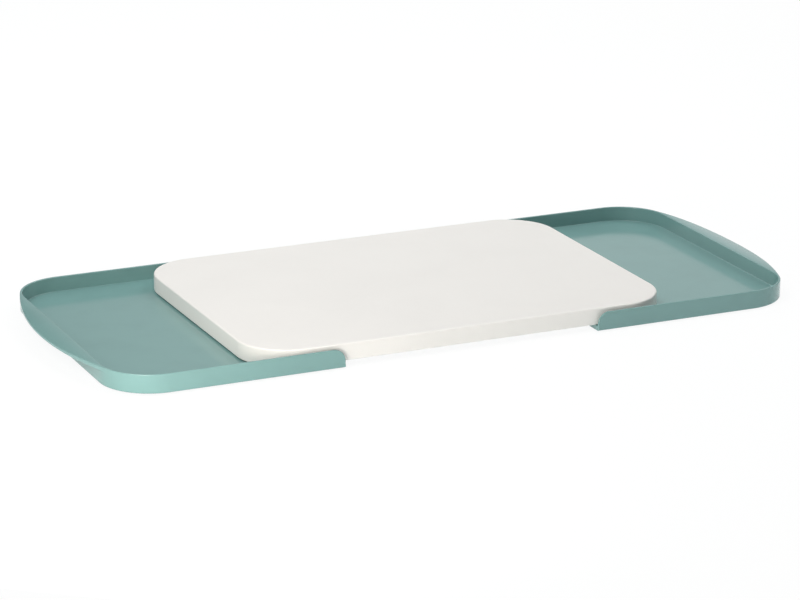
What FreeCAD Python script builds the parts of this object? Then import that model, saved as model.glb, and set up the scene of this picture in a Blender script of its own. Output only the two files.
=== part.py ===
import FreeCAD, Part
import math
import os
import Sketcher

# A cutting board that rides on two shallow trays, one drawn out at each end.
#
# Row frame: X runs along the board, Y across it, Z up. The origin is the middle of the
# footprint, on the surface that the trays' feet stand on. Lengths are millimetres.
#
# The board lies between the side walls of both trays, on four glide pads that slide on
# the tray floors. Drawn out, the low rib at a tray's mouth stops against two lugs under
# the board. Pushed in, the two mouths nearly meet under the middle of the board, and each
# tray's end wall closes round an end of the board. A bowed lip along the rim of each end
# wall is what the hand pulls.
#
# A tray's own frame has X = 0 at its mouth, +X towards its lip, and Z = 0 at its underside.
# The board's own frame has Z = 0 at its underside.

DRIVING_SIZES = (
    # board
    ("board_length", "365.6"),
    ("board_thickness", "14.2"),
    ("board_top_round", "1.3"),
    ("board_base_round", "1"),
    # trays
    ("tray_width", "270"),
    ("tray_corner", "43"),
    ("rim_height", "15.5"),
    ("wall", "2"),
    ("floor_thickness", "3"),
    ("floor_root_round", "0.5"),
    ("tray_base_round", "1.5"),
    ("mouth_round", "10"),
    # lip at the end of each tray
    ("lip_reach", "16"),
    ("lip_edge", "1.5"),
    ("lip_drop", "2.15"),
    # travel, and the clearances between board and trays
    ("travel", "110"),
    ("side_gap", "2.4"),
    ("end_gap", "3"),
    ("mouth_gap", "0.6"),
    ("corner_ease", "1.2"),
    ("glide_gap", "1.1"),
    ("glide_clearance", "0.1"),
    # stop rib at the mouth of each tray, and the lugs under the board that it meets
    ("rib_width", "2"),
    ("rib_rise", "0.8"),
    ("rib_inset", "1.8"),
    ("stop_gap", "0.1"),
    ("lug_length", "4"),
    ("lug_width", "16"),
    ("lug_depth", "0.8"),
    ("lug_inset", "38"),
    # glide pads under the board
    ("pad_radius", "7"),
    ("pad_recess", "1"),
    ("pad_end_inset", "24"),
    ("pad_side_inset", "28"),
    # feet under the trays
    ("foot_radius", "6"),
    ("foot_rise", "1"),
    ("foot_recess", "1"),
    ("foot_end_inset", "32"),
    ("foot_inner_x", "18"),
    ("foot_side_inset", "32"),
    ("recess_fit", "0.1"),
    ("rubber_round", "0.4"),
)

DERIVED_SIZES = (
    ("tray_half_width", "=tray_width / 2"),
    ("basin_half_width", "=tray_half_width - wall"),
    ("board_half_width", "=basin_half_width - side_gap"),
    ("board_half_length", "=board_length / 2"),
    ("basin_corner", "=tray_corner - wall"),
    ("board_corner", "=basin_corner + corner_ease"),
    ("basin_length", "=board_half_length + end_gap - mouth_gap"),
    ("tray_length", "=basin_length + wall"),
    ("basin_depth", "=rim_height - floor_thickness"),
    ("mouth_place", "=mouth_gap + travel"),
    ("board_base", "=foot_rise + floor_thickness + glide_gap"),
    # The lip's outline is one arc that runs tangent into both rounded corners of the tray.
    ("corner_centre", "=tray_half_width - tray_corner"),
    ("lip_offset", "=(corner_centre ^ 2 - lip_reach ^ 2) / (2 * lip_reach)"),
    ("lip_radius", "=lip_offset + tray_corner + lip_reach"),
    ("lip_share", "=lip_radius / (lip_radius - tray_corner)"),
    ("lip_root", "=tray_length - tray_corner - lip_offset + lip_share * lip_offset"),
    ("lip_half_chord", "=lip_share * corner_centre"),
    ("lip_depth", "=lip_edge + lip_drop"),
    ("lip_base", "=rim_height - lip_depth"),
    # The lip's top leaves the rim level and curves down to its outer edge.
    ("lip_crown", "=(lip_reach ^ 2 + lip_drop ^ 2) / (2 * lip_drop)"),
    # stop lugs, from the middle of the board
    ("lug_start", "=mouth_place + rib_width + stop_gap"),
    ("lug_end", "=lug_start + lug_length"),
    ("lug_outer", "=board_half_width - lug_inset"),
    ("lug_inner", "=lug_outer - lug_width"),
    ("rib_half_width", "=basin_half_width - rib_inset"),
    # glide pads and feet
    ("pad_place_x", "=board_half_length - pad_end_inset"),
    ("pad_place_y", "=board_half_width - pad_side_inset"),
    ("pad_thickness", "=pad_recess + glide_gap - glide_clearance"),
    ("pad_base", "=foot_rise + floor_thickness + glide_clearance"),
    ("pad_hole", "=pad_radius + recess_fit"),
    ("foot_outer_x", "=tray_length - foot_end_inset"),
    ("foot_place_y", "=tray_half_width - foot_side_inset"),
    ("foot_thickness", "=foot_rise + foot_recess"),
    ("foot_hole", "=foot_radius + recess_fit"),
)

SIDES = (("left", -1), ("right", 1))
ROWS = (("front", -1), ("back", 1))
NEAR = 1e-4

doc = FreeCAD.newDocument("cutting_board_with_drawer_trays")
sheet = doc.addObject("Spreadsheet::Sheet", "sizes")
for row, (alias, content) in enumerate(DRIVING_SIZES + DERIVED_SIZES, start=1):
    sheet.set("A%d" % row, alias)
    sheet.set("B%d" % row, content)
    sheet.setAlias("B%d" % row, alias)
doc.recompute()

sub_parts = []


def size(alias):
    """The present value of a size in the sheet."""
    return float(sheet.get(alias))


def new_body(label):
    """An empty body, listed as a sub-part under its label."""
    body = doc.addObject("PartDesign::Body", label)
    body.Label = label
    sub_parts.append(body)
    return body


def new_sketch(body, name, role="XY_Plane", lift=None):
    """A sketch on one of the body's own origin planes, raised by a size of the sheet."""
    sketch = body.newObject("Sketcher::SketchObject", body.Label + "_" + name)
    plane = [item for item in body.Origin.OriginFeatures if item.Role == role][0]
    sketch.AttachmentSupport = (plane, "")
    sketch.MapMode = "FlatFace"
    if lift:
        sketch.setExpression("AttachmentOffset.Base.z", "sizes." + lift)
    return sketch


def evaluate(terms):
    """The value of a sum of signed sizes, such as (("tray_length", 1), ("wall", -1))."""
    return sum(sign * size(alias) for alias, sign in terms)


def expression(terms):
    """The same sum as an expression of the sheet."""
    return " + ".join("%d * sizes.%s" % (sign, alias) for alias, sign in terms)


def hold(sketch, kind, geometry, point, terms):
    """Ties one coordinate of a sketch point to the sheet. An empty sum puts it on an axis."""
    if terms:
        rule = Sketcher.Constraint(kind, geometry, point, evaluate(terms))
        number = sketch.addConstraint(rule)
        sketch.setExpression("Constraints[%d]" % number, expression(terms))
        return
    axis = {"DistanceX": -2, "DistanceY": -1}[kind]
    sketch.addConstraint(Sketcher.Constraint("PointOnObject", geometry, point, axis))


def draw_polygon(sketch, corners):
    """Closed straight outline. Each corner is a pair of sums of sizes, for x and for y."""
    first = sketch.GeometryCount
    points = [FreeCAD.Vector(evaluate(x), evaluate(y), 0) for x, y in corners]
    count = len(points)
    for index in range(count):
        side = Part.LineSegment(points[index], points[(index + 1) % count])
        sketch.addGeometry(side, False)
    for index in range(count):
        following = first + (index + 1) % count
        sketch.addConstraint(Sketcher.Constraint("Coincident", first + index, 2, following, 1))
    for index, (x, y) in enumerate(corners):
        hold(sketch, "DistanceX", first + index, 1, x)
        hold(sketch, "DistanceY", first + index, 1, y)


def draw_rectangle(sketch, low_x, high_x, low_y, high_y):
    """Upright rectangle between two sums of sizes in x and two in y."""
    corners = ((low_x, low_y), (high_x, low_y), (high_x, high_y), (low_x, high_y))
    draw_polygon(sketch, corners)


def draw_circle(sketch, centre_x, centre_y, radius):
    """Circle of one named radius round a centre given by two sums of sizes."""
    centre = FreeCAD.Vector(evaluate(centre_x), evaluate(centre_y), 0)
    up = FreeCAD.Vector(0, 0, 1)
    number = sketch.addGeometry(Part.Circle(centre, up, size(radius)), False)
    hold(sketch, "DistanceX", number, 3, centre_x)
    hold(sketch, "DistanceY", number, 3, centre_y)
    rule = Sketcher.Constraint("Radius", number, size(radius))
    sketch.setExpression("Constraints[%d]" % sketch.addConstraint(rule), "sizes." + radius)


def draw_tray_outline(sketch, half_width, length, corner):
    """Outline of a tray or its basin: straight at the mouth, on X = 0, and rounded at the
    two far corners. The three arguments are aliases of the sheet."""
    straight_x = ((length, 1), (corner, -1))
    places = (
        ((), ((half_width, -1),)),
        (straight_x, ((half_width, -1),)),
        (((length, 1),), ((half_width, -1), (corner, 1))),
        (((length, 1),), ((half_width, 1), (corner, -1))),
        (straight_x, ((half_width, 1),)),
        ((), ((half_width, 1),)),
    )
    points = [FreeCAD.Vector(evaluate(x), evaluate(y), 0) for x, y in places]
    diagonal = size(corner) * math.sqrt(0.5)
    edges = []
    for index in range(len(points)):
        start = points[index]
        end = points[(index + 1) % len(points)]
        if start.x == end.x or start.y == end.y:
            edges.append(Part.LineSegment(start, end))
            continue
        across = math.copysign(1, start.y + end.y)
        centre = FreeCAD.Vector(evaluate(straight_x), across * (size(half_width) - size(corner)), 0)
        middle = centre + FreeCAD.Vector(diagonal, across * diagonal, 0)
        edges.append(Part.Arc(start, middle, end))
    numbers = [sketch.addGeometry(edge, False) for edge in edges]
    for index, number in enumerate(numbers):
        following = numbers[(index + 1) % len(numbers)]
        sketch.addConstraint(Sketcher.Constraint("Coincident", number, 2, following, 1))
    for number, (x, y) in zip(numbers, places):
        hold(sketch, "DistanceX", number, 1, x)
        hold(sketch, "DistanceY", number, 1, y)
    for number, edge in zip(numbers, edges):
        if isinstance(edge, Part.Arc):
            hold(sketch, "DistanceX", number, 3, straight_x)


def pad(body, name, sketch, length, reverse=False):
    """Material added along the sketch's normal, or against it."""
    feature = body.newObject("PartDesign::Pad", body.Label + "_" + name)
    feature.Profile = sketch
    feature.Reversed = reverse
    feature.setExpression("Length", "sizes." + length)
    sketch.Visibility = False
    doc.recompute()
    return feature


def pocket(body, name, sketch, length=None, reverse=False):
    """Material cut against the sketch's normal, or along it. With no length it cuts through
    the whole body to both sides. The cut has to take something away."""
    volume_before = body.Shape.Volume
    feature = body.newObject("PartDesign::Pocket", body.Label + "_" + name)
    feature.Profile = sketch
    feature.Reversed = reverse
    if length:
        feature.setExpression("Length", "sizes." + length)
    else:
        feature.Type = "ThroughAll"
        feature.Midplane = True
    sketch.Visibility = False
    doc.recompute()
    if body.Shape.Volume > volume_before - NEAR:
        raise RuntimeError("%s cuts nothing" % feature.Label)
    return feature


def round_edges(body, name, radius, wanted):
    """Fillet of a named radius on each edge of the body for which wanted(edge) is true."""
    base = body.Tip
    edges = enumerate(base.Shape.Edges, start=1)
    chosen = ["Edge%d" % number for number, edge in edges if wanted(edge)]
    if not chosen:
        raise RuntimeError("%s has no edge to round" % name)
    feature = body.newObject("PartDesign::Fillet", body.Label + "_" + name)
    feature.Base = (base, chosen)
    feature.setExpression("Radius", "sizes." + radius)
    doc.recompute()
    return feature


def is_upright(edge):
    """True for a straight edge along Z."""
    box = edge.BoundBox
    return box.XLength < NEAR and box.YLength < NEAR


def lies_at(edge, height):
    """True for an edge that lies flat at a height."""
    box = edge.BoundBox
    return box.ZLength < NEAR and abs(box.ZMin - height) < NEAR


def crosses_mouth(edge):
    """True for an edge of a tray's mouth face, at X = 0 of the tray."""
    box = edge.BoundBox
    return abs(box.XMin) < NEAR and box.XLength < NEAR


def build_tray(side, sign):
    """One tray: a floor with a wall on three sides, open at the mouth, with a lip outside
    the end wall. The left tray is the right one turned half round."""
    body = new_body(side + "_tray")
    outline = new_sketch(body, "outline")
    draw_tray_outline(outline, "tray_half_width", "tray_length", "tray_corner")
    pad(body, "block", outline, "rim_height")
    add_lip(body)
    hollow_basin(body)
    round_edges(body, "mouth_corners", "mouth_round",
                lambda edge: crosses_mouth(edge) and lies_at(edge, size("rim_height")))
    round_edges(body, "base_edge", "tray_base_round",
                lambda edge: lies_at(edge, 0) and not crosses_mouth(edge))
    add_stop_rib(body)
    cut_foot_recesses(body)
    body.setExpression("Placement.Base.x", "%d * sizes.mouth_place" % sign)
    body.setExpression("Placement.Base.z", "sizes.foot_rise")
    if sign < 0:
        body.Placement.Rotation = FreeCAD.Rotation(FreeCAD.Vector(0, 0, 1), 180)


def add_lip(body):
    """The lip: a segment of a circle in plan, level with the rim at the end wall. Its top
    curves down to a thin outer edge, and its underside is flat."""
    outline = new_sketch(body, "lip_outline", lift="lip_base")
    root = size("lip_root")
    half = size("lip_half_chord")
    reach = size("tray_length") + size("lip_reach")
    low = FreeCAD.Vector(root, -half, 0)
    tip = FreeCAD.Vector(reach, 0, 0)
    high = FreeCAD.Vector(root, half, 0)
    arc = outline.addGeometry(Part.Arc(low, tip, high), False)
    chord = outline.addGeometry(Part.LineSegment(high, low), False)
    outline.addConstraint(Sketcher.Constraint("Coincident", arc, 2, chord, 1))
    outline.addConstraint(Sketcher.Constraint("Coincident", arc, 1, chord, 2))
    hold(outline, "DistanceX", chord, 1, (("lip_root", 1),))
    hold(outline, "DistanceX", chord, 2, (("lip_root", 1),))
    hold(outline, "DistanceY", chord, 1, (("lip_half_chord", 1),))
    hold(outline, "DistanceY", chord, 2, (("lip_half_chord", -1),))
    radius = Sketcher.Constraint("Radius", arc, size("lip_radius"))
    number = outline.addConstraint(radius)
    outline.setExpression("Constraints[%d]" % number, "sizes.lip_radius")
    pad(body, "lip", outline, "lip_depth")

    top = new_sketch(body, "lip_top_curve", "XZ_Plane")
    draw_lip_top(top)
    pocket(body, "lip_top", top)


def draw_lip_top(sketch):
    """What is cut off above the lip: two straight sides, and the arc of the lip's top, whose
    centre is straight below the end wall's outer face."""
    wall_x = (("tray_length", 1),)
    tip_x = (("tray_length", 1), ("lip_reach", 1))
    rim_y = (("rim_height", 1),)
    edge_y = (("rim_height", 1), ("lip_drop", -1))
    places = ((wall_x, rim_y), (tip_x, rim_y), (tip_x, edge_y))
    wall, corner, tip = [FreeCAD.Vector(evaluate(x), evaluate(y), 0) for x, y in places]
    crown = size("lip_crown")
    half_turn = math.asin(size("lip_reach") / crown) / 2
    centre = wall - FreeCAD.Vector(0, crown, 0)
    middle = centre + FreeCAD.Vector(math.sin(half_turn), math.cos(half_turn), 0) * crown
    edges = (Part.LineSegment(wall, corner), Part.LineSegment(corner, tip),
             Part.Arc(tip, middle, wall))
    numbers = [sketch.addGeometry(edge, False) for edge in edges]
    for index, number in enumerate(numbers):
        following = numbers[(index + 1) % len(numbers)]
        sketch.addConstraint(Sketcher.Constraint("Coincident", number, 2, following, 1))
    for number, (x, y) in zip(numbers, places):
        hold(sketch, "DistanceX", number, 1, x)
        hold(sketch, "DistanceY", number, 1, y)
    hold(sketch, "DistanceX", numbers[-1], 3, wall_x)


def hollow_basin(body):
    """The basin: open at the mouth and at the top, with rounded far corners and a small
    root round where the walls meet the floor."""
    outline = new_sketch(body, "basin_outline", lift="rim_height")
    draw_tray_outline(outline, "basin_half_width", "basin_length", "basin_corner")
    pocket(body, "basin", outline, "basin_depth")
    floor_top = size("floor_thickness")
    round_edges(body, "basin_root", "floor_root_round",
                lambda edge: lies_at(edge, floor_top) and not crosses_mouth(edge))


def add_stop_rib(body):
    """The low rib across the floor at the mouth, which the board's lugs stop."""
    outline = new_sketch(body, "rib_outline", lift="floor_thickness")
    width_low = (("rib_half_width", -1),)
    width_high = (("rib_half_width", 1),)
    draw_rectangle(outline, (), (("rib_width", 1),), width_low, width_high)
    pad(body, "rib", outline, "rib_rise")


def cut_foot_recesses(body):
    """Four round recesses in the underside, one for each foot."""
    outline = new_sketch(body, "foot_recess_outlines")
    for place in ("foot_inner_x", "foot_outer_x"):
        for _, across in ROWS:
            draw_circle(outline, ((place, 1),), (("foot_place_y", across),), "foot_hole")
    pocket(body, "foot_recesses", outline, "foot_recess", reverse=True)


def build_board():
    """The board: a plain slab with round corners and a soft top edge. Underneath are four
    recesses for the glide pads and four lugs that stop the trays."""
    body = new_body("cutting_board")
    outline = new_sketch(body, "outline")
    draw_rectangle(outline, (("board_half_length", -1),), (("board_half_length", 1),),
                   (("board_half_width", -1),), (("board_half_width", 1),))
    pad(body, "slab", outline, "board_thickness")
    round_edges(body, "corners", "board_corner", is_upright)
    round_edges(body, "top_edge", "board_top_round",
                lambda edge: lies_at(edge, size("board_thickness")))
    round_edges(body, "base_edge", "board_base_round", lambda edge: lies_at(edge, 0))

    recesses = new_sketch(body, "pad_recess_outlines")
    for _, along in SIDES:
        for _, across in ROWS:
            draw_circle(recesses, (("pad_place_x", along),), (("pad_place_y", across),),
                        "pad_hole")
    pocket(body, "pad_recesses", recesses, "pad_recess", reverse=True)

    lugs = new_sketch(body, "lug_outlines")
    for _, along in SIDES:
        for _, across in ROWS:
            draw_rectangle(lugs, (("lug_start", along),), (("lug_end", along),),
                           (("lug_inner", across),), (("lug_outer", across),))
    pad(body, "lugs", lugs, "lug_depth", reverse=True)
    body.setExpression("Placement.Base.z", "sizes.board_base")


def build_disc(label, radius, thickness):
    """A round rubber piece with its lower rim softened. It stands on its own XY plane."""
    body = new_body(label)
    outline = new_sketch(body, "outline")
    draw_circle(outline, (), (), radius)
    pad(body, "disc", outline, thickness)
    round_edges(body, "rim", "rubber_round", lambda edge: lies_at(edge, 0))
    return body


def build_glide_pads():
    """Four pads, each seated in a recess under a corner of the board."""
    for side, along in SIDES:
        for row_name, across in ROWS:
            label = "glide_pad_%s_%s" % (side, row_name)
            body = build_disc(label, "pad_radius", "pad_thickness")
            body.setExpression("Placement.Base.x", "%d * sizes.pad_place_x" % along)
            body.setExpression("Placement.Base.y", "%d * sizes.pad_place_y" % across)
            body.setExpression("Placement.Base.z", "sizes.pad_base")


def build_feet():
    """Four feet under each tray, each seated in its recess."""
    for side, along in SIDES:
        for end in ("inner", "outer"):
            for row_name, across in ROWS:
                label = "%s_tray_foot_%s_%s" % (side, end, row_name)
                body = build_disc(label, "foot_radius", "foot_thickness")
                place = "%d * (sizes.mouth_place + sizes.foot_%s_x)" % (along, end)
                body.setExpression("Placement.Base.x", place)
                body.setExpression("Placement.Base.y", "%d * sizes.foot_place_y" % across)


def check_model():
    """Stops if any object failed, or if a sub-part isn't one sound solid."""
    doc.recompute()
    for item in doc.Objects:
        if "Invalid" in item.State or "Error" in item.State:
            raise RuntimeError("%s failed: %s" % (item.Label, item.State))
    for body in sub_parts:
        shape = body.Shape
        if shape.isNull() or not shape.isValid() or len(shape.Solids) != 1:
            raise RuntimeError("%s is not one sound solid" % body.Label)


def write_parts():
    """One STEP file for each sub-part, named after its label."""
    os.makedirs("parts", exist_ok=True)
    for body in sub_parts:
        body.Shape.exportStep("parts/%s.step" % body.Label)
        box = body.Shape.BoundBox
        print("%-30s volume %10.1f  x %7.2f..%7.2f  y %7.2f..%7.2f  z %6.2f..%6.2f" % (
            body.Label, body.Shape.Volume, box.XMin, box.XMax, box.YMin, box.YMax,
            box.ZMin, box.ZMax))


build_board()
build_glide_pads()
for tray_side, tray_sign in SIDES:
    build_tray(tray_side, tray_sign)
build_feet()
check_model()
write_parts()
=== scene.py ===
import math

import bmesh
import bpy
from mathutils import Matrix, Vector


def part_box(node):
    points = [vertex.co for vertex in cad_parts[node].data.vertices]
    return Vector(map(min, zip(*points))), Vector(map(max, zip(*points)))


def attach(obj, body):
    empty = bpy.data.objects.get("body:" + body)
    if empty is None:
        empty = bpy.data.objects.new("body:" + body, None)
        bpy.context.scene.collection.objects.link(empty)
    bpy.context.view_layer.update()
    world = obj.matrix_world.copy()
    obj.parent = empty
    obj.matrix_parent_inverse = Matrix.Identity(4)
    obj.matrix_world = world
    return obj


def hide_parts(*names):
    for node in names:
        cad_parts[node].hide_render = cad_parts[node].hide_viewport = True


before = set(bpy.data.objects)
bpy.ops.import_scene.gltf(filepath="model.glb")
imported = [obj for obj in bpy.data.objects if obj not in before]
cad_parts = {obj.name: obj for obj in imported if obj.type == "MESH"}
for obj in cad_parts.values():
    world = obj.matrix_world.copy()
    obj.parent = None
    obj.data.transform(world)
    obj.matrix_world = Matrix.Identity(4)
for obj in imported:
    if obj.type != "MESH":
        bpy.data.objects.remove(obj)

# A white cutting board that rides on two shallow teal trays, one drawn out at each end.
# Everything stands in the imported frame: X along the board, Y across it, Z up, in metres.
# The pieces' places and outer sizes come from the frame. What the frame doesn't give, such
# as edge radii, is named below.

MM = 0.001

# Board
BOARD_CORNER = 42.2 * MM
BOARD_TOP_ROUND = 1.3 * MM
BOARD_BASE_ROUND = 1 * MM
LUG_DEPTH = 0.8 * MM
LUG_LENGTH = 4 * MM
LUG_WIDTH = 16 * MM
LUG_INSET = 38 * MM
STOP_GAP = 0.1 * MM

# Trays
TRAY_CORNER = 43 * MM
WALL = 2 * MM
FLOOR = 3 * MM
FLOOR_ROOT_ROUND = 0.5 * MM
TRAY_BASE_ROUND = 1.5 * MM
MOUTH_ROUND = 10 * MM
RIM_ROUND = 0.7 * MM
RIB_WIDTH = 2 * MM
RIB_RISE = 0.8 * MM
RIB_INSET = 1.8 * MM

# Lip at the end of each tray. Its edge is its thickness there, and the edge's own round is
# full where the lip stands out as far as LIP_FULL.
LIP_REACH = 16 * MM
LIP_FULL = LIP_REACH / 4
LIP_EDGE = 1.5 * MM
LIP_DROP = 2.15 * MM
LIP_EDGE_ROUND = 0.7 * MM
LIP_ROOT_ROUND = 1.4 * MM

# Discs: the glide pads under the board and the feet under the trays
DISC_ROUND = 0.4 * MM
GROOVE_WIDTH = 0.7 * MM
GROOVE_DEPTH = 0.3 * MM
GROOVE_COUNT = 2
RECESS_FIT = 0.1 * MM

# Mesh steps
ARC_STEPS = 5
SIDE_STEPS = 12
CORNER_STEPS = 30
LIP_START_STEPS = 10
END_WALL_STEPS = 48
LIP_TOP_STEPS = 6
DISC_STEPS = 64
SHARP_ANGLE = math.radians(32)
# Where the outer round starts in the list of places over a wall's top
OUTER_ROUND_START = ARC_STEPS + 1 + LIP_TOP_STEPS
MERGE = 1e-6

# Names in the frame
SIDES = ("left", "right")
ROWS = ("front", "back")
GLIDE_PADS = tuple("glide_pad_%s_%s" % (side, row) for side in SIDES for row in ROWS)


def tray_feet(side):
    """The names of the four feet under one tray."""
    return ["%s_tray_foot_%s_%s" % (side, end, row) for end in ("inner", "outer") for row in ROWS]


# Camera: the photograph's view of the object, with a long lens from the front left.
CAMERA_AZIMUTH = -24.626
CAMERA_ELEVATION = 17.695
CAMERA_ROLL = math.radians(0.217)
CAMERA_DISTANCE = 2670.2 * MM
CAMERA_TARGET = Vector((-1.03, 4.02, 1.3)) * MM
FOCAL_LENGTH_PX = 3232.9
IMAGE_WIDTH_PX = 800
SENSOR_WIDTH = 36.0

# Materials: base colours are linear. Most of a pattern's values lie in PATTERN_RANGE.
TRAY_COLOUR = (0.191, 0.348, 0.337)
TRAY_ROUGHNESS = 0.15
BOARD_COLOUR = (0.854, 0.84, 0.808)
BOARD_ROUGHNESS = 0.45
GLIDE_COLOUR = (0.70, 0.70, 0.67)
GLIDE_ROUGHNESS = 0.34
RUBBER_COLOUR = (0.09, 0.13, 0.125)
RUBBER_ROUGHNESS = 0.775
PLASTIC_IOR = 1.5
RUBBER_IOR = 1.45
PATTERN_RANGE = (0.3, 0.7)
WHITE = (1, 1, 1)

# Studio: soft glows of the surround, as azimuth, elevation and strength, and soft boxes.
GLOWS = (
    (-60, 55, 7.2),
    (90, 55, 4.1),
    (90, 28, 1.5),
    (150, 8, 0.92),
    (-150, 8, 1.8),
)
GLOW_FOCUS = 24
HIGH_BOX_PLACE = (0, 0.7, 0.9)
HIGH_BOX_TARGET = (0, 0.07, 0)
HIGH_BOX_WIDTH = 0.8
HIGH_BOX_POWER = 3.2
CORNER_BOX_PLACE = (-0.45, -0.45, 0.1)
CORNER_BOX_TARGET = (-0.135, -0.045, 0)
CORNER_BOX_WIDTH = 0.2
CORNER_BOX_POWER = 1.15
CORNER_BOX_COLOUR = (1, 0.96, 0.92)
LOW_BOX_PLACE = (-0.46, -0.36, 0.09)
LOW_BOX_TARGET = (-0.27, -0.1, 0.01)
LOW_BOX_WIDTH = 0.12
LOW_BOX_POWER = 0.3
LOW_BOX_COLOUR = (1, 0.84, 0.7)
FLOOR_COLOUR = (0.85, 0.85, 0.85)
FLOOR_GLOW = 0.9
FLOOR_LIGHT = 0.18
FLOOR_LIGHT_COLOUR = (0.82, 1, 1)
FLOOR_REACH = 6
FLOOR_CLEARANCE = 0.2 * MM


# ------------------------------------------------------------------ mesh helpers
def steps(low, high, count):
    """count + 1 even values from low to high."""
    return [low + (high - low) * index / count for index in range(count + 1)]


def ease(share):
    """A smooth rise from 0 to 1, held outside that range."""
    share = min(1, max(0, share))
    return share * share * (3 - 2 * share)


def quarter(centre, radius, start):
    """Pairs round a quarter circle, clockwise from an angle in quarter turns."""
    places = []
    for turn in steps(start, start - 1, ARC_STEPS):
        angle = turn * math.pi / 2
        places.append((centre[0] + radius * math.cos(angle),
                       centre[1] + radius * math.sin(angle)))
    return places


def bridge(first, second):
    """The faces of a strip between two rows with as many places."""
    return [[first[i], first[i + 1], second[i + 1], second[i]] for i in range(len(first) - 1)]


def ring_bridge(first, second):
    """The faces of a closed band between two rings with as many places."""
    return bridge(first + first[:1], second + second[:1])


def without_repeats(corners):
    """The corners of a face, without any that lie on the one before."""
    return [corner for index, corner in enumerate(corners)
            if (corner - corners[index - 1]).length > MERGE]


def closed_mesh(name, faces):
    """A mesh from faces given as lists of corner places. It has to close."""
    shape = bmesh.new()
    for corners in faces:
        kept = without_repeats(corners)
        if len(kept) > 2:
            shape.faces.new([shape.verts.new(corner) for corner in kept])
    bmesh.ops.remove_doubles(shape, verts=shape.verts, dist=MERGE)
    bmesh.ops.recalc_face_normals(shape, faces=shape.faces)
    open_edges = [edge for edge in shape.edges if len(edge.link_faces) != 2]
    if open_edges:
        place = open_edges[0].verts[0].co
        raise ValueError("%s: %d open edges, one near %s" % (name, len(open_edges), place))
    mesh = bpy.data.meshes.new(name)
    shape.to_mesh(mesh)
    shape.free()
    return mesh


def put_in_scene(name, data):
    """An object with this mesh, camera or light."""
    thing = bpy.data.objects.new(name, data)
    bpy.context.scene.collection.objects.link(thing)
    return thing


def new_piece(name, faces):
    """An object in the frame's own place, with a closed mesh."""
    return put_in_scene(name, closed_mesh(name, faces))


def settle(piece):
    """Works the piece's modifiers into its mesh."""
    graph = bpy.context.evaluated_depsgraph_get()
    mesh = bpy.data.meshes.new_from_object(piece.evaluated_get(graph))
    piece.modifiers.clear()
    old = piece.data
    piece.data = mesh
    bpy.data.meshes.remove(old)
    mesh.name = piece.name


def combine(piece, operation, tool_faces):
    """Cuts a closed tool out of the piece, or joins it on."""
    tool = new_piece("tool", tool_faces)
    modifier = piece.modifiers.new("combine", "BOOLEAN")
    modifier.operation = operation
    modifier.solver = "EXACT"
    modifier.object = tool
    settle(piece)
    bpy.data.objects.remove(tool)


def crease_points(piece):
    """Sharp edges where an edge round runs out in a point between two flat faces."""
    shape = bmesh.new()
    shape.from_mesh(piece.data)
    for vertex in shape.verts:
        flats = [face for face in vertex.link_faces if len(face.verts) > 4]
        fan = [face for face in vertex.link_faces if len(face.verts) == 3]
        if len(flats) > 1 and len(fan) > 1:
            for edge in vertex.link_edges:
                if any(face in fan for face in edge.link_faces):
                    edge.smooth = False
    shape.to_mesh(piece.data)
    shape.free()


def smooth(piece):
    """Smooth shading that keeps flat faces flat and real corners crisp."""
    piece.data.shade_smooth()
    piece.data.set_sharp_from_angle(angle=SHARP_ANGLE)
    crease_points(piece)
    modifier = piece.modifiers.new("normals", "WEIGHTED_NORMAL")
    modifier.mode = "FACE_AREA"
    modifier.weight = 100
    modifier.keep_sharp = True
    settle(piece)


def stacked_faces(rings):
    """A solid through level rings, from the lowest one to the highest."""
    faces = [rings[0][::-1], rings[-1]]
    for lower, upper in zip(rings, rings[1:]):
        faces += ring_bridge(lower, upper)
    return faces


def box_faces(low, high):
    """The six faces of an upright box."""
    base = [Vector((x, y, low[2])) for x, y in
            ((low[0], low[1]), (high[0], low[1]), (high[0], high[1]), (low[0], high[1]))]
    top = [Vector((corner.x, corner.y, high[2])) for corner in base]
    return stacked_faces([base, top])


def turned_faces(profile, centre):
    """A solid turned about an upright axis. The profile is pairs of radius and height, from
    the bottom face to the top one."""
    rings = []
    for radius, height in profile:
        ring = []
        for index in range(DISC_STEPS):
            angle = 2 * math.pi * index / DISC_STEPS
            ring.append(Vector((centre.x + radius * math.cos(angle),
                                centre.y + radius * math.sin(angle), height)))
        rings.append(ring)
    return stacked_faces(rings)


def recess_faces(node, below):
    """The tool that cuts a disc's recess, from a height below the surface up to its top."""
    low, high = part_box(node)
    radius = (high.x - low.x) / 2 + RECESS_FIT
    return turned_faces(((radius, below), (radius, high.z)), (low + high) / 2)


# ------------------------------------------------------------------ board
def slab_ring(half_length, half_width, drawn_in, height):
    """A level rounded rectangle, drawn in all round from the board's outline."""
    ring = []
    radius = BOARD_CORNER - drawn_in
    for turn, (side_x, side_y) in enumerate(((1, 1), (-1, 1), (-1, -1), (1, -1))):
        centre_x = side_x * (half_length - BOARD_CORNER)
        centre_y = side_y * (half_width - BOARD_CORNER)
        for angle in steps(turn * math.pi / 2, (turn + 1) * math.pi / 2, CORNER_STEPS):
            ring.append(Vector((centre_x + radius * math.cos(angle),
                                centre_y + radius * math.sin(angle), height)))
    return ring


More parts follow.
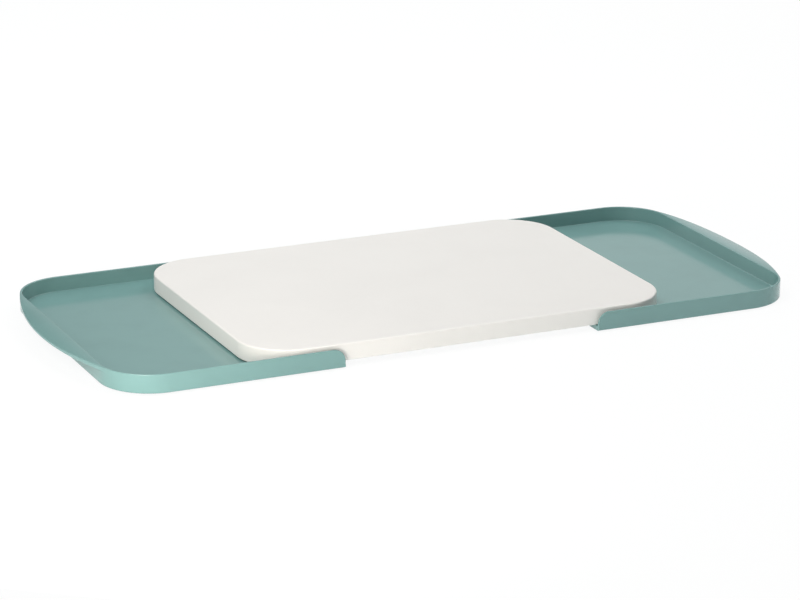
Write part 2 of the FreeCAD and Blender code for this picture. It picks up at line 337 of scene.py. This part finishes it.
def build_board():
    """The board: a slab with a soft top edge, and pad recesses and stop lugs underneath."""
    low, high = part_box("cutting_board")
    base = low.z + LUG_DEPTH
    sections = []
    for angle in steps(0, math.pi / 2, ARC_STEPS):
        sections.append((BOARD_BASE_ROUND * (1 - math.sin(angle)),
                         base + BOARD_BASE_ROUND * (1 - math.cos(angle))))
    for angle in steps(0, math.pi / 2, 2 * ARC_STEPS):
        sections.append((BOARD_TOP_ROUND * (1 - math.cos(angle)),
                         high.z - BOARD_TOP_ROUND * (1 - math.sin(angle))))
    rings = [slab_ring(high.x, high.y, drawn_in, height) for drawn_in, height in sections]
    board = new_piece("board_slab", stacked_faces(rings))
    for pad in GLIDE_PADS:
        combine(board, "DIFFERENCE", recess_faces(pad, base - MM))
    for tray, along in (("left_tray", -1), ("right_tray", 1)):
        mouth = min(abs(corner.x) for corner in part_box(tray))
        for across in (-1, 1):
            combine(board, "UNION", lug_faces(mouth, high.y, base, along, across))
    smooth(board)
    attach(board, "board")
    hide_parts("cutting_board")
    return board


def lug_faces(mouth, board_side, base, along, across):
    """A lug under the board, which the rib at a tray's mouth stops against."""
    start = mouth + RIB_WIDTH + STOP_GAP
    outer = board_side - LUG_INSET
    ends_x = sorted((along * start, along * (start + LUG_LENGTH)))
    ends_y = sorted((across * (outer - LUG_WIDTH), across * outer))
    return box_faces((ends_x[0], ends_y[0], base - LUG_DEPTH),
                     (ends_x[1], ends_y[1], base + MM))


# ------------------------------------------------------------------ trays
class Station:
    """One place along the free edge of a tray's wall. That edge runs up the front end of
    the mouth, round the rim, and down the back end of the mouth. out points from the wall's
    inner face to its outer one, and rise out of the wall through its free edge."""

    def __init__(self, edge, out, rise, inner_round=RIM_ROUND, outer_round=RIM_ROUND, lip=0):
        self.edge = Vector(edge)
        self.out = Vector(out)
        self.rise = Vector(rise)
        self.inner_round = inner_round
        self.outer_round = outer_round
        self.lip = lip

    def mirrored(self):
        """The matching station at the back of the tray."""
        flip = Matrix.Scale(-1, 3, (0, 1, 0))
        return Station(flip @ self.edge, flip @ self.out, flip @ self.rise,
                       self.inner_round, self.outer_round, self.lip)

    def place(self, outward, upward):
        """A place in this section: outward from the wall's outer face, and upward from its
        free edge."""
        return self.edge + self.out * outward + self.rise * upward

    def base(self):
        """Round the base edge, from the outer face to the underside, below the station."""
        centre = Vector((self.edge.x, self.edge.y, TRAY_BASE_ROUND))
        centre -= self.out * TRAY_BASE_ROUND
        return self.turned(centre, TRAY_BASE_ROUND)

    def root(self):
        """Round the root, from the inner face to the floor's top, below the station."""
        centre = Vector((self.edge.x, self.edge.y, FLOOR + FLOOR_ROOT_ROUND))
        centre -= self.out * (WALL + FLOOR_ROOT_ROUND)
        return self.turned(centre, FLOOR_ROOT_ROUND)

    def turned(self, centre, radius):
        """From the outward side of a centre round to straight below it."""
        return [centre + self.out * across + Vector((0, 0, rise))
                for across, rise in quarter((0, 0), radius, 0)]


class TrayShape:
    """A tray in its own frame: X = 0 at the mouth, +X to the lip, Z = 0 underneath."""

    def __init__(self):
        low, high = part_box("right_tray")
        self.length = high.x - low.x - LIP_REACH
        self.half_width = high.y
        self.rim = high.z - low.z
        self.corner_x = self.length - TRAY_CORNER
        self.corner_y = self.half_width - TRAY_CORNER
        self.rib_side = self.half_width - WALL - RIB_INSET
        # The lip's outline is one arc that runs tangent into both corners.
        offset = (self.corner_y ** 2 - LIP_REACH ** 2) / (2 * LIP_REACH)
        self.lip_radius = offset + TRAY_CORNER + LIP_REACH
        self.lip_centre = self.corner_x - offset
        self.lip_angle = math.atan2(self.corner_y, offset)
        self.lip_crown = (LIP_REACH ** 2 + LIP_DROP ** 2) / (2 * LIP_DROP)
        self.place_stations()

    # -------------------------------------------------------------- stations
    def place_stations(self):
        """All the stations, and the places in the list where the shape changes."""
        front = self.upright_stations()
        self.free_from = len(front) - 1
        front += self.mouth_corner_stations()
        front += self.side_stations()
        self.bend_from = len(front)
        front += self.corner_stations()
        back = [station.mirrored() for station in reversed(front)]
        self.stations = front + self.end_stations() + back

    def upright_stations(self):
        """Up the front end of the mouth, as far as the top of the floor's root."""
        made = []
        top = FLOOR + FLOOR_ROOT_ROUND
        for height in steps(TRAY_BASE_ROUND, top, ARC_STEPS):
            outer = RIM_ROUND * ease((height - TRAY_BASE_ROUND) / (top - TRAY_BASE_ROUND))
            edge = (0, -self.half_width, height)
            made.append(Station(edge, (0, -1, 0), (-1, 0, 0), 0, outer))
        return made

    def mouth_corner_stations(self):
        """From the floor's root up to the mouth's top corner, and round that corner."""
        made = []
        root = FLOOR + FLOOR_ROOT_ROUND
        turn = self.rim - MOUTH_ROUND
        for height in steps(root, turn, ARC_STEPS)[1:]:
            inner = RIM_ROUND * ease((height - root) / (turn - root))
            edge = (0, -self.half_width, height)
            made.append(Station(edge, (0, -1, 0), (-1, 0, 0), inner))
        centre = Vector((MOUTH_ROUND, -self.half_width, turn))
        for angle in steps(0, math.pi / 2, 3 * ARC_STEPS)[1:]:
            rise = Vector((-math.cos(angle), 0, math.sin(angle)))
            made.append(Station(centre + rise * MOUTH_ROUND, (0, -1, 0), rise))
        return made

    def side_stations(self):
        """Along the front rim, between the mouth's corner and the tray's round corner."""
        places = steps(MOUTH_ROUND, self.corner_x, SIDE_STEPS)[1:-1]
        return [Station((x, -self.half_width, self.rim), (0, -1, 0), (0, 0, 1))
                for x in places]

    def corner_stations(self):
        """Round the front corner. The lip grows out of the last part of it."""
        made = []
        centre = Vector((self.corner_x, -self.corner_y, self.rim))
        lip_start = math.pi / 2 - self.lip_angle
        plain = steps(0, lip_start, CORNER_STEPS)
        lipped = steps(lip_start, math.pi / 2, LIP_START_STEPS)[1:]
        for angle in plain + lipped:
            out = Vector((math.sin(angle), -math.cos(angle), 0))
            lip = self.corner_lip(out) if angle > lip_start else 0
            made.append(Station(centre + out * TRAY_CORNER, out, (0, 0, 1), lip=lip))
        return made

    def corner_lip(self, out):
        """How far the lip stands out from the front corner, in a direction off its centre."""
        gap = Vector((self.corner_x - self.lip_centre, -self.corner_y, 0))
        along = gap.dot(out)
        reach = -along + math.sqrt(along ** 2 - gap.length_squared + self.lip_radius ** 2)
        return max(0, reach - TRAY_CORNER)

    def end_stations(self):
        """Across the end wall, between the two corners."""
        made = []
        for y in steps(-self.corner_y, self.corner_y, END_WALL_STEPS)[1:-1]:
            lip = self.lip_centre + math.sqrt(self.lip_radius ** 2 - y ** 2) - self.length
            made.append(Station((self.length, y, self.rim), (1, 0, 0), (0, 0, 1), lip=lip))
        return made

    # -------------------------------------------------------------- sections
    def top_place(self, station, outward, upward):
        """A place on top of a station's section, where the lip curves down past the end
        wall."""
        spot = station.place(outward, upward)
        past = max(0, spot.x - self.length)
        fall = self.lip_crown - math.sqrt(self.lip_crown ** 2 - past ** 2)
        return spot - station.rise * fall

    def crown(self, station):
        """Over the top of the wall and the lip, from the inner face to the outer one."""
        inner = station.inner_round
        growth = min(1, station.lip / LIP_FULL)
        outer = station.outer_round + (LIP_EDGE_ROUND - RIM_ROUND) * growth
        level = station.lip - outer
        kink = level
        if station.out.x > 0:
            kink = min(level, (self.length - station.edge.x) / station.out.x)
        places = quarter((inner - WALL, -inner), inner, 2)
        places += [(along, 0) for along in steps(kink, level, LIP_TOP_STEPS)[:-1]]
        places += quarter((level, -outer), outer, 1)
        return [self.top_place(station, *pair) for pair in places]

    def flank(self, station):
        """Down the edge of the lip, under it, and down the outer face to the base round."""
        edge_round = min(LIP_EDGE_ROUND, station.lip / 2)
        root_round = min(LIP_ROOT_ROUND, station.lip / 2)
        under = -LIP_EDGE - LIP_DROP
        places = quarter((station.lip - edge_round, under + edge_round), edge_round, 0)
        hollow = quarter((root_round, under - root_round), root_round, 2)
        places += hollow[::-1]
        places += [(0, TRAY_BASE_ROUND - self.rim)]
        return [self.crown(station)[-1]] + [station.place(*pair) for pair in places]

    # -------------------------------------------------------------- faces
    def faces(self):
        """Every face of the tray, without its foot recesses."""
        made = self.crown_faces() + self.bend_faces()
        straight = [self.stations[0], self.stations[self.bend_from]]
        for mirror in (False, True):
            ends = [station.mirrored() for station in straight] if mirror else straight
            for section in (Station.base, Station.root):
                made += bridge(section(ends[0]), section(ends[1]))
            made += self.side_faces(mirror)
        return made + self.level_faces() + self.rib_faces()

    def crown_faces(self):
        """The free edge of the wall. Beside the floor only its outer round is free."""
        crowns = [self.crown(station) for station in self.stations]
        last = len(crowns) - 1
        made = []
        for index, (first, second) in enumerate(zip(crowns, crowns[1:])):
            if index < self.free_from or index >= last - self.free_from:
                made += bridge(first[OUTER_ROUND_START:], second[OUTER_ROUND_START:])
            else:
                made += bridge(first, second)
        return made

    def bend_faces(self):
        """The walls, the root and the base edge round both corners and the end."""
        bend = self.stations[self.bend_from:len(self.stations) - self.bend_from]
        made = []
        for first, second in zip(bend, bend[1:]):
            made += bridge(self.flank(first), self.flank(second))
            made += bridge(first.base(), second.base())
            made += bridge(first.root(), second.root())
            made.append([self.crown(first)[0], self.crown(second)[0],
                         second.root()[0], first.root()[0]])
        return made

    def side_faces(self, mirror):
        """The flat inner and outer faces of one side wall."""
        side = self.stations[:self.bend_from + 1]
        if mirror:
            side = [station.mirrored() for station in side]
        start = side[0]
        bend = side[-1]
        outer = [self.crown(station)[-1] for station in side]
        outer += self.flank(bend)[1:]
        inner = [self.crown(station)[0] for station in side[self.free_from:]]
        inner += [bend.root()[0], start.root()[0]]
        return [outer, inner]

    def level_faces(self):
        """The mouth's face, the floor's top and the underside."""
        straight = [self.stations[0]]
        straight += self.stations[self.bend_from:len(self.stations) - self.bend_from]
        straight += [self.stations[-1]]
        under = [station.base()[-1] for station in straight]
        floor = [station.root()[-1] for station in straight]
        return [under, floor + self.rib_outline(FLOOR)[::-1], self.mouth_outline()]

    def rib_outline(self, height):
        """The stop rib's outline from above, from its front end at the mouth round to its
        back end there."""
        return [Vector((x, y, height)) for x, y in
                ((0, -self.rib_side), (RIB_WIDTH, -self.rib_side),
                 (RIB_WIDTH, self.rib_side), (0, self.rib_side))]

    def mouth_outline(self):
        """The outline of the mouth's face, with the side of the rib."""
        start = self.stations[0]
        front = start.base()[::-1]
        uprights = self.stations[:self.free_from + 1]
        front += [self.crown(station)[OUTER_ROUND_START] for station in uprights]
        front += start.root()
        front += [self.rib_outline(FLOOR)[0], self.rib_outline(FLOOR + RIB_RISE)[0]]
        back = [Vector((corner.x, -corner.y, corner.z)) for corner in reversed(front)]
        return front + back

    def rib_faces(self):
        """The stop rib's ends, its inner side and its top."""
        high = self.rib_outline(FLOOR + RIB_RISE)
        return bridge(self.rib_outline(FLOOR), high) + [high]


def build_tray(shape, side):
    """One tray. The left one is the right one turned half round."""
    node = side + "_tray"
    low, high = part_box(node)
    mouth = min(abs(low.x), abs(high.x))
    spot = Matrix.Translation((mouth, 0, low.z))
    if side == "left":
        spot = Matrix.Rotation(math.pi, 4, "Z") @ spot
    faces = [[spot @ corner for corner in corners] for corners in shape.faces()]
    tray = new_piece(side + "_tray_shell", faces)
    for foot in tray_feet(side):
        combine(tray, "DIFFERENCE", recess_faces(foot, low.z - MM))
    smooth(tray)
    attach(tray, node)
    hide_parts(node)
    return tray


# ------------------------------------------------------------------ discs
def disc_profile(radius, low, high):
    """Half the section of a disc, with a soft lower rim and rings of grooves under it."""
    profile = []
    pitch = (radius - DISC_ROUND) / (GROOVE_COUNT + 1)
    for number in range(1, GROOVE_COUNT + 1):
        middle = pitch * number
        half = GROOVE_WIDTH / 2
        profile += [(middle - half, low), (middle - half / 2, low + GROOVE_DEPTH),
                    (middle + half / 2, low + GROOVE_DEPTH), (middle + half, low)]
    for across, rise in reversed(quarter((radius - DISC_ROUND, DISC_ROUND), DISC_ROUND, 0)):
        profile.append((across, low + rise))
    profile.append((radius, high))
    return profile


def build_disc(node, body):
    """A glide pad or a foot, in the place of its node."""
    low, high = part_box(node)
    profile = disc_profile((high.x - low.x) / 2, low.z, high.z)
    disc = new_piece(node + "_disc", turned_faces(profile, (low + high) / 2))
    smooth(disc)
    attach(disc, body)
    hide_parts(node)
    return disc


# ------------------------------------------------------------------ materials
def math_node(nodes, operation, second=0):
    """A node that works on numbers. Its second number counts where nothing is linked to it."""
    node = nodes.new("ShaderNodeMath")
    node.operation = operation
    node.inputs[1].default_value = second
    return node


class Finish:
    """A material under construction: one principled shader, and patterns that follow the
    piece they lie on. Scales are in grains per metre."""

    def __init__(self, name, ior=PLASTIC_IOR):
        self.material = bpy.data.materials.new(name)
        self.material.use_nodes = True
        self.nodes = self.material.node_tree.nodes
        self.links = self.material.node_tree.links
        self.shader = self.nodes["Principled BSDF"]
        self.shader.inputs["IOR"].default_value = ior
        self.place = self.nodes.new("ShaderNodeTexCoord").outputs["Object"]

    def noise(self, scale, detail=2.0):
        """A cloudy pattern."""
        node = self.nodes.new("ShaderNodeTexNoise")
        node.inputs["Scale"].default_value = scale
        node.inputs["Detail"].default_value = detail
        self.links.new(self.place, node.inputs["Vector"])
        return node.outputs["Fac"]

    def pebbles(self, scale):
        """A pattern of small rounded grains."""
        node = self.nodes.new("ShaderNodeTexVoronoi")
        node.feature = "SMOOTH_F1"
        node.inputs["Scale"].default_value = scale
        self.links.new(self.place, node.inputs["Vector"])
        return node.outputs["Distance"]

    def spread(self, source, low, high):
        """A pattern stretched so that it mostly runs from low to high."""
        node = self.nodes.new("ShaderNodeMapRange")
        node.inputs["From Min"].default_value = PATTERN_RANGE[0]
        node.inputs["From Max"].default_value = PATTERN_RANGE[1]
        node.inputs["To Min"].default_value = low
        node.inputs["To Max"].default_value = high
        self.links.new(source, node.inputs["Value"])
        return node.outputs["Result"]

    def add(self, first, second, share):
        """The first pattern, with a share of the second added."""
        node = math_node(self.nodes, "MULTIPLY_ADD", share)
        self.links.new(second, node.inputs[0])
        self.links.new(first, node.inputs[2])
        return node.outputs["Value"]

    def colour(self, source, middle, swing):
        """The base colour, wandering a little to both sides of a middle tone."""
        node = self.nodes.new("ShaderNodeMix")
        node.data_type = "RGBA"
        # For colours this node has its own sockets: 6 and 7 in, 2 out.
        for socket, factor in ((6, 1 - swing), (7, 1 + swing)):
            tone = [channel * factor for channel in middle]
            node.inputs[socket].default_value = (*tone, 1)
        self.links.new(self.spread(source, 0, 1), node.inputs["Factor"])
        self.links.new(node.outputs[2], self.shader.inputs["Base Color"])

    def gloss(self, source, middle, swing):
        """The roughness, wandering a little to both sides of a middle value."""
        patches = self.spread(source, middle - swing, middle + swing)
        self.links.new(patches, self.shader.inputs["Roughness"])

    def relief(self, source, height):
        """A bump of a height in metres, from a pattern."""
        node = self.nodes.new("ShaderNodeBump")
        node.inputs["Distance"].default_value = height
        self.links.new(source, node.inputs["Height"])
        self.links.new(node.outputs["Normal"], self.shader.inputs["Normal"])


def teal_plastic():
    """Satin moulded plastic with a fine grain."""
    finish = Finish("teal_plastic")
    clouds = finish.noise(30, 3)
    grain = finish.noise(1400)
    finish.colour(finish.add(clouds, grain, 0.3), TRAY_COLOUR, 0.03)
    finish.gloss(finish.noise(160, 4), TRAY_ROUGHNESS, 0.02)
    finish.relief(finish.add(grain, finish.noise(60), 4), 0.002 * MM)
    return finish.material


def white_plastic():
    """Matt cutting board plastic with a pebbled skin."""
    finish = Finish("white_plastic")
    clouds = finish.noise(18, 4)
    skin = finish.pebbles(900)
    finish.colour(finish.add(clouds, skin, 0.2), BOARD_COLOUR, 0.012)
    finish.gloss(finish.noise(220, 3), BOARD_ROUGHNESS, 0.05)
    finish.relief(finish.add(skin, finish.noise(240), 0.6), 0.02 * MM)
    return finish.material


def glide_plastic():
    """Slick off-white plastic of the glide pads."""
    finish = Finish("glide_plastic")
    finish.colour(finish.noise(120, 3), GLIDE_COLOUR, 0.03)
    finish.gloss(finish.noise(700), GLIDE_ROUGHNESS, 0.06)
    finish.relief(finish.noise(1200), 0.01 * MM)
    return finish.material


def foot_rubber():
    """Matt grey-green rubber of the feet."""
    finish = Finish("foot_rubber", RUBBER_IOR)
    finish.colour(finish.noise(900, 3), RUBBER_COLOUR, 0.1)
    finish.gloss(finish.noise(300), RUBBER_ROUGHNESS, 0.075)
    finish.relief(finish.pebbles(1600), 0.04 * MM)
    return finish.material


def dress(piece, material):
    """One material all over a piece."""
    piece.data.materials.clear()
    piece.data.materials.append(material)


# ------------------------------------------------------------------ studio
def compass(azimuth, elevation):
    """A direction: azimuth 0 is the front, 90 the right, and elevation is above level."""
    turn = math.radians(azimuth)
    lift = math.radians(elevation)
    return Vector((math.sin(turn) * math.cos(lift), -math.cos(turn) * math.cos(lift),
                   math.sin(lift)))


def add_camera():
    """The camera at the photograph's viewing angle."""
    back = compass(CAMERA_AZIMUTH, CAMERA_ELEVATION)
    level = Vector((0, 0, 1)).cross(back).normalized()
    turn = Matrix.Rotation(CAMERA_ROLL, 3, back)
    right = turn @ level
    up = back.cross(right)
    data = bpy.data.cameras.new("camera")
    data.sensor_width = SENSOR_WIDTH
    data.lens = FOCAL_LENGTH_PX / IMAGE_WIDTH_PX * SENSOR_WIDTH
    camera = put_in_scene("camera", data)
    axes = Matrix((right, up, back)).transposed().to_4x4()
    camera.matrix_world = Matrix.Translation(CAMERA_TARGET + back * CAMERA_DISTANCE) @ axes
    bpy.context.scene.camera = camera


def add_soft_box(name, place, target, width, power, colour=WHITE):
    """A square soft box that faces a target."""
    data = bpy.data.lights.new(name, "AREA")
    data.shape = "SQUARE"
    data.size = width
    data.energy = power
    data.color = colour
    light = put_in_scene(name, data)
    light.location = place
    light.rotation_euler = (Vector(place) - Vector(target)).to_track_quat("Z", "Y").to_euler()
    light.visible_camera = False


def add_surround():
    """The studio's surround: white to the camera, and a few soft glows as light."""
    world = bpy.data.worlds.new("studio")
    bpy.context.scene.world = world
    world.use_nodes = True
    nodes = world.node_tree.nodes
    links = world.node_tree.links
    nodes.clear()
    direction = nodes.new("ShaderNodeTexCoord").outputs["Generated"]
    total = None
    for azimuth, elevation, strength in GLOWS:
        facing = nodes.new("ShaderNodeVectorMath")
        facing.operation = "DOT_PRODUCT"
        facing.inputs[1].default_value = compass(azimuth, elevation)
        links.new(direction, facing.inputs[0])
        ahead = math_node(nodes, "MAXIMUM", 0)
        links.new(facing.outputs["Value"], ahead.inputs[0])
        lobe = math_node(nodes, "POWER", GLOW_FOCUS)
        links.new(ahead.outputs["Value"], lobe.inputs[0])
        level = math_node(nodes, "MULTIPLY_ADD", strength)
        level.inputs[2].default_value = 0
        links.new(lobe.outputs["Value"], level.inputs[0])
        if total:
            links.new(total, level.inputs[2])
        total = level.outputs["Value"]
    glow = nodes.new("ShaderNodeBackground")
    glow.inputs["Color"].default_value = (*WHITE, 1)
    links.new(total, glow.inputs["Strength"])
    seen = nodes.new("ShaderNodeBackground")
    seen.inputs["Color"].default_value = (*WHITE, 1)
    mix = nodes.new("ShaderNodeMixShader")
    out = nodes.new("ShaderNodeOutputWorld")
    links.new(nodes.new("ShaderNodeLightPath").outputs["Is Camera Ray"], mix.inputs["Fac"])
    links.new(glow.outputs["Background"], mix.inputs[1])
    links.new(seen.outputs["Background"], mix.inputs[2])
    links.new(mix.outputs["Shader"], out.inputs["Surface"])


def floor_paint():
    """Matt white that throws a little light up. To the camera and in the part's gloss it
    glows, so that it meets the white surround and keeps only a faint shadow."""
    material = bpy.data.materials.new("floor_white")
    material.use_nodes = True
    nodes = material.node_tree.nodes
    links = material.node_tree.links
    nodes.clear()
    diffuse = nodes.new("ShaderNodeBsdfDiffuse")
    diffuse.inputs["Color"].default_value = (*FLOOR_COLOUR, 1)
    light = nodes.new("ShaderNodeEmission")
    light.inputs["Color"].default_value = (*FLOOR_LIGHT_COLOUR, 1)
    light.inputs["Strength"].default_value = FLOOR_LIGHT
    lit = nodes.new("ShaderNodeAddShader")
    glow = nodes.new("ShaderNodeEmission")
    glow.inputs["Color"].default_value = (*WHITE, 1)
    path = nodes.new("ShaderNodeLightPath")
    seen = math_node(nodes, "MAXIMUM")
    share = math_node(nodes, "MULTIPLY", FLOOR_GLOW)
    mix = nodes.new("ShaderNodeMixShader")
    out = nodes.new("ShaderNodeOutputMaterial")
    links.new(path.outputs["Is Camera Ray"], seen.inputs[0])
    links.new(path.outputs["Is Glossy Ray"], seen.inputs[1])
    links.new(seen.outputs["Value"], share.inputs[0])
    links.new(share.outputs["Value"], mix.inputs["Fac"])
    links.new(diffuse.outputs["BSDF"], lit.inputs[0])
    links.new(light.outputs["Emission"], lit.inputs[1])
    links.new(lit.outputs["Shader"], mix.inputs[1])
    links.new(glow.outputs["Emission"], mix.inputs[2])
    links.new(mix.outputs["Shader"], out.inputs["Surface"])
    return material


def add_floor():
    """The plain floor that the feet stand on."""
    shape = bmesh.new()
    bmesh.ops.create_grid(shape, x_segments=1, y_segments=1, size=FLOOR_REACH)
    mesh = bpy.data.meshes.new("floor")
    shape.to_mesh(mesh)
    shape.free()
    mesh.materials.append(floor_paint())
    floor = put_in_scene("floor", mesh)
    floor.location.z = -FLOOR_CLEARANCE


# ------------------------------------------------------------------ the scene
def build_part():
    """Every piece of the part, in its material."""
    teal = teal_plastic()
    white = white_plastic()
    glide = glide_plastic()
    rubber = foot_rubber()
    dress(build_board(), white)
    for pad in GLIDE_PADS:
        dress(build_disc(pad, "board"), glide)
    shape = TrayShape()
    for side in SIDES:
        dress(build_tray(shape, side), teal)
        for foot in tray_feet(side):
            dress(build_disc(foot, side + "_tray"), rubber)


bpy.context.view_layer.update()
build_part()
add_camera()
add_surround()
add_floor()
add_soft_box("high_box", HIGH_BOX_PLACE, HIGH_BOX_TARGET, HIGH_BOX_WIDTH, HIGH_BOX_POWER)
add_soft_box("corner_box", CORNER_BOX_PLACE, CORNER_BOX_TARGET, CORNER_BOX_WIDTH,
             CORNER_BOX_POWER, CORNER_BOX_COLOUR)
add_soft_box("low_box", LOW_BOX_PLACE, LOW_BOX_TARGET, LOW_BOX_WIDTH, LOW_BOX_POWER,
             LOW_BOX_COLOUR)
bpy.context.scene.view_settings.view_transform = "Standard"
